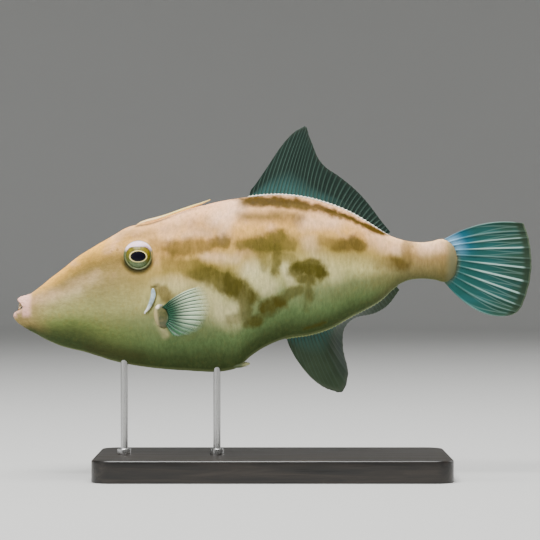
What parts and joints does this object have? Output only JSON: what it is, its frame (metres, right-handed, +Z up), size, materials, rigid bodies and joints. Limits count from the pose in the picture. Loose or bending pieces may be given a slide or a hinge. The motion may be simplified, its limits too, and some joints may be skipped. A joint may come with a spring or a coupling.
{
  "type": "black scraper filefish on a display stand",
  "caption": "Life-size museum model of a filefish swimming nose slightly down, fins spread, held by two rods on a flat rounded base.",
  "frame": {"origin": "middle of the underside of the stand, under the middle of the whole model's length", "axes": "+X from the fish's mouth towards its tail, +Y towards the fish's right side, +Z up"},
  "size_m": [0.2799, 0.09, 0.1889],
  "materials": {
    "skin": "cream skin with olive blotches, fine rough scales",
    "lips": "pale pink lips",
    "teeth": "off-white enamel",
    "eyes": "glossy olive-gold iris with a black pupil",
    "gill_edge": "pale blue-white skin edge",
    "fin_pad": "brown-olive fleshy pad",
    "pectoral_membrane": "pale teal translucent membrane with rays",
    "spines": "pale yellow-white bone",
    "fin_membrane": "dark teal translucent membrane with lighter rays",
    "base": "black lacquered wood",
    "rods": "brushed steel"
  },
  "bodies": {
    "root": {"head": "skin", "trunk": "skin", "tail_stalk": "skin", "upper_lip": "lips", "lower_lip": "lips", "teeth_upper": "teeth", "teeth_lower": "teeth", "eye_left": "eyes", "eye_right": "eyes", "gill_flap_left": "gill_edge", "gill_flap_right": "gill_edge", "pectoral_base_left": "fin_pad", "pectoral_base_right": "fin_pad", "pectoral_fin_left": "pectoral_membrane", "pectoral_fin_right": "pectoral_membrane", "dorsal_spine": "spines", "dorsal_fin": "fin_membrane", "anal_fin": "fin_membrane", "caudal_fin": "fin_membrane", "pelvic_spur": "spines", "stand_base": "base", "stand_rod_front": "rods", "stand_rod_rear": "rods"}
  },
  "joints": []
}
